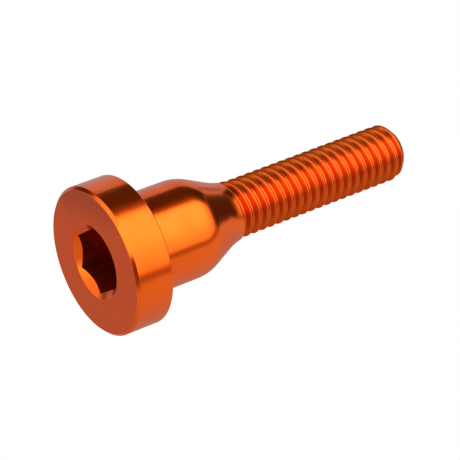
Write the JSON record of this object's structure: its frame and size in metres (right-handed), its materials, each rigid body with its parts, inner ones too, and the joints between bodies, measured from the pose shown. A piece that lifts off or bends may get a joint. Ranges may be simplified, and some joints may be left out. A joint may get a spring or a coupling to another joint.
{
  "type": "stem cap bolt",
  "caption": "One-piece anodised cap bolt with a wide flat head, hexagon socket, thick plain shank, ogee neck and a long metric thread.",
  "frame": {"origin": "centre of the flat head face, on which the bolt stands", "axes": "+Z along the bolt's axis from the head face to the thread tip; two corners of the hexagon socket lie on the Y axis and two flats face along X"},
  "size_m": [0.015, 0.015, 0.036],
  "materials": {
    "anodised_orange": "anodised, satin on the head face and polished on the sides"
  },
  "bodies": {
    "root": {"bolt": "anodised_orange"}
  },
  "joints": []
}
